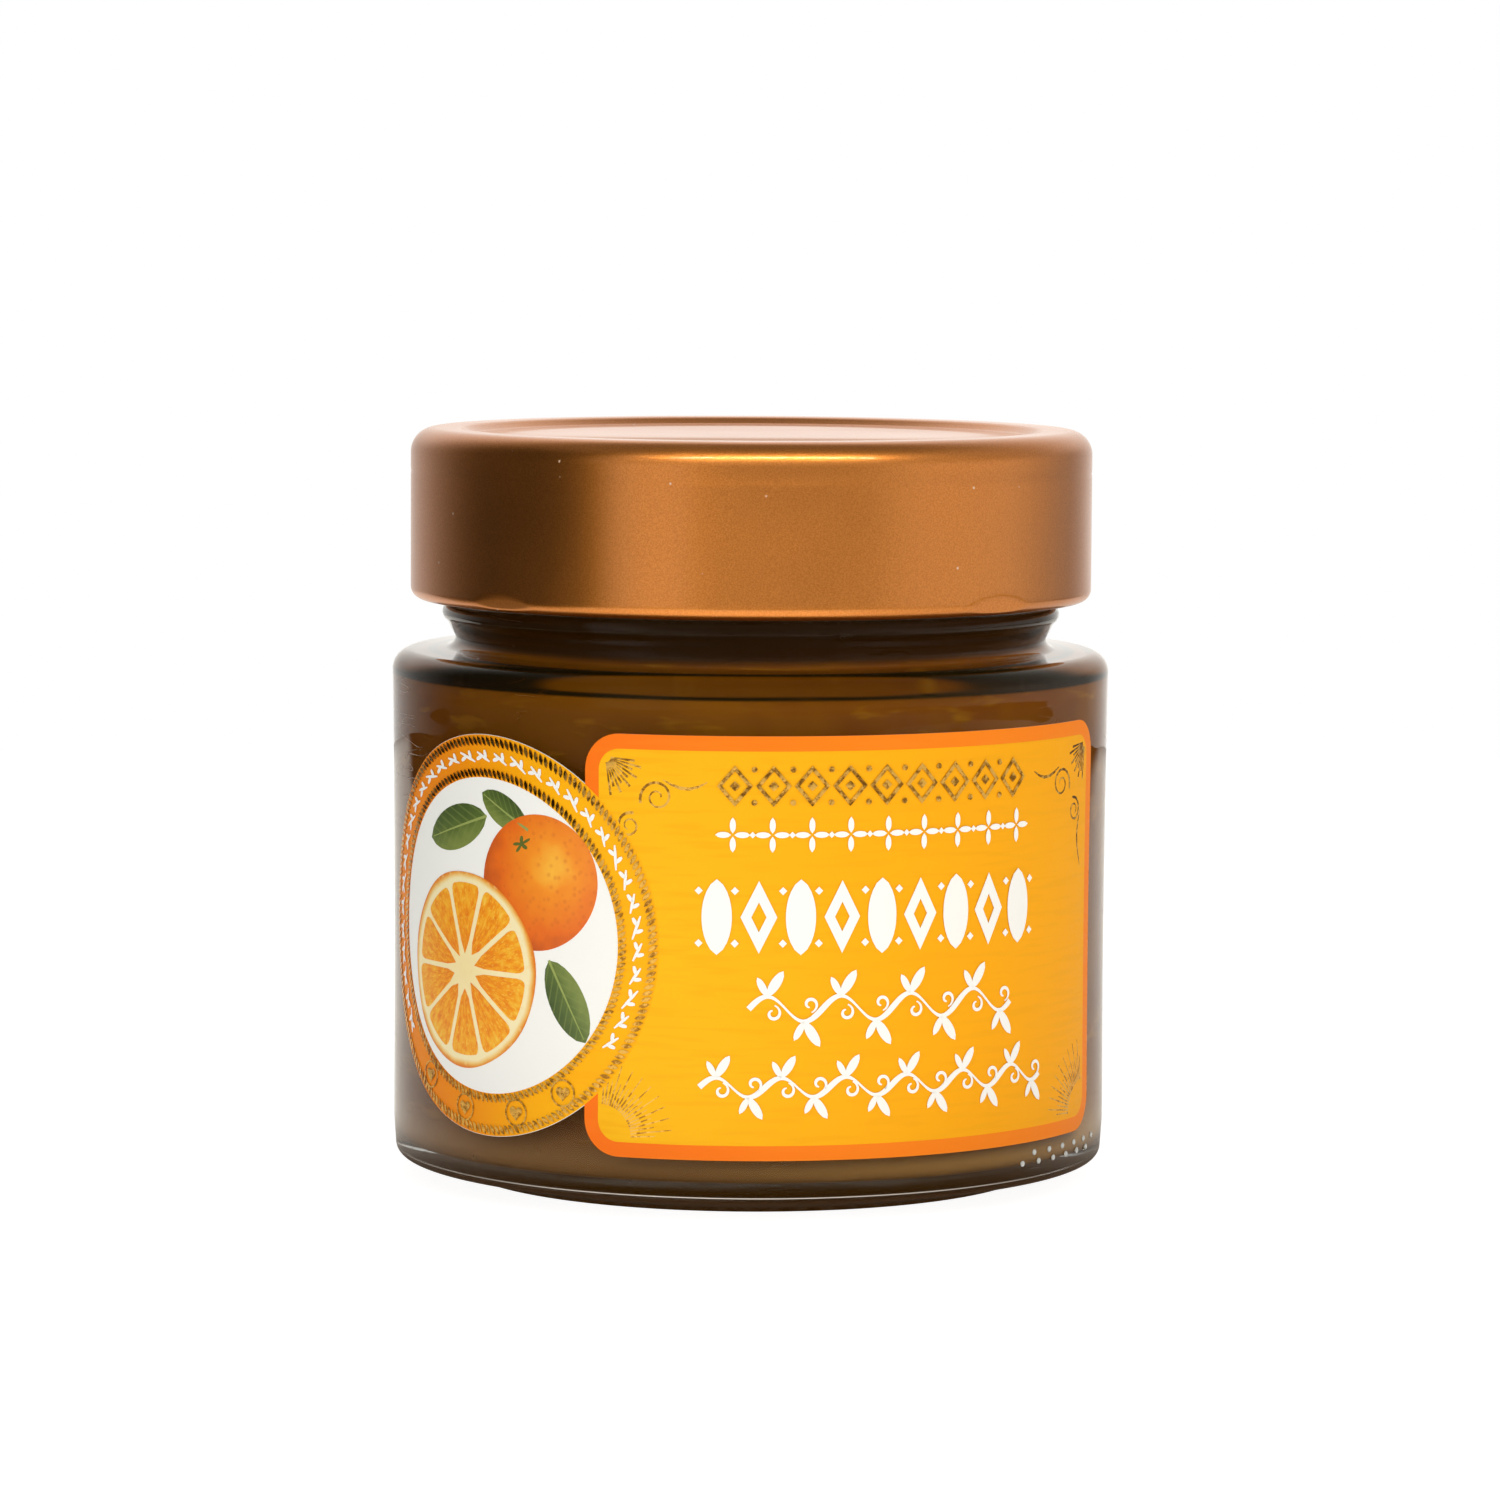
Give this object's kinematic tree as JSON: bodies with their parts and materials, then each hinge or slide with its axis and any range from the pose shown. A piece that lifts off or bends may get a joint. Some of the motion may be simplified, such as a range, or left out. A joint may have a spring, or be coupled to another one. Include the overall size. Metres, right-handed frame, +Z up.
{
  "type": "marmalade jar",
  "caption": "Round clear glass jar of orange fruit preserve, shut with a copper twist-off lid and wrapped in a die-cut paper label.",
  "frame": {"origin": "centre of the base, at the height of the ring that the jar stands on", "axes": "+Z up along the jar's axis, the middle of the front with the label faces -Y, +X to the right seen from the front"},
  "size_m": [0.0772, 0.0774, 0.08],
  "materials": {
    "glass": "clear, smooth",
    "copper_lacquer": "satin metallic copper lacquer on thin steel sheet",
    "marmalade": "set jelly with fruit, wet",
    "label_paper": "coated paper, printed, with foil details"
  },
  "bodies": {
    "root": {"glass_jar": "glass", "lid": "copper_lacquer", "marmalade": "marmalade", "label": "label_paper"}
  },
  "joints": []
}
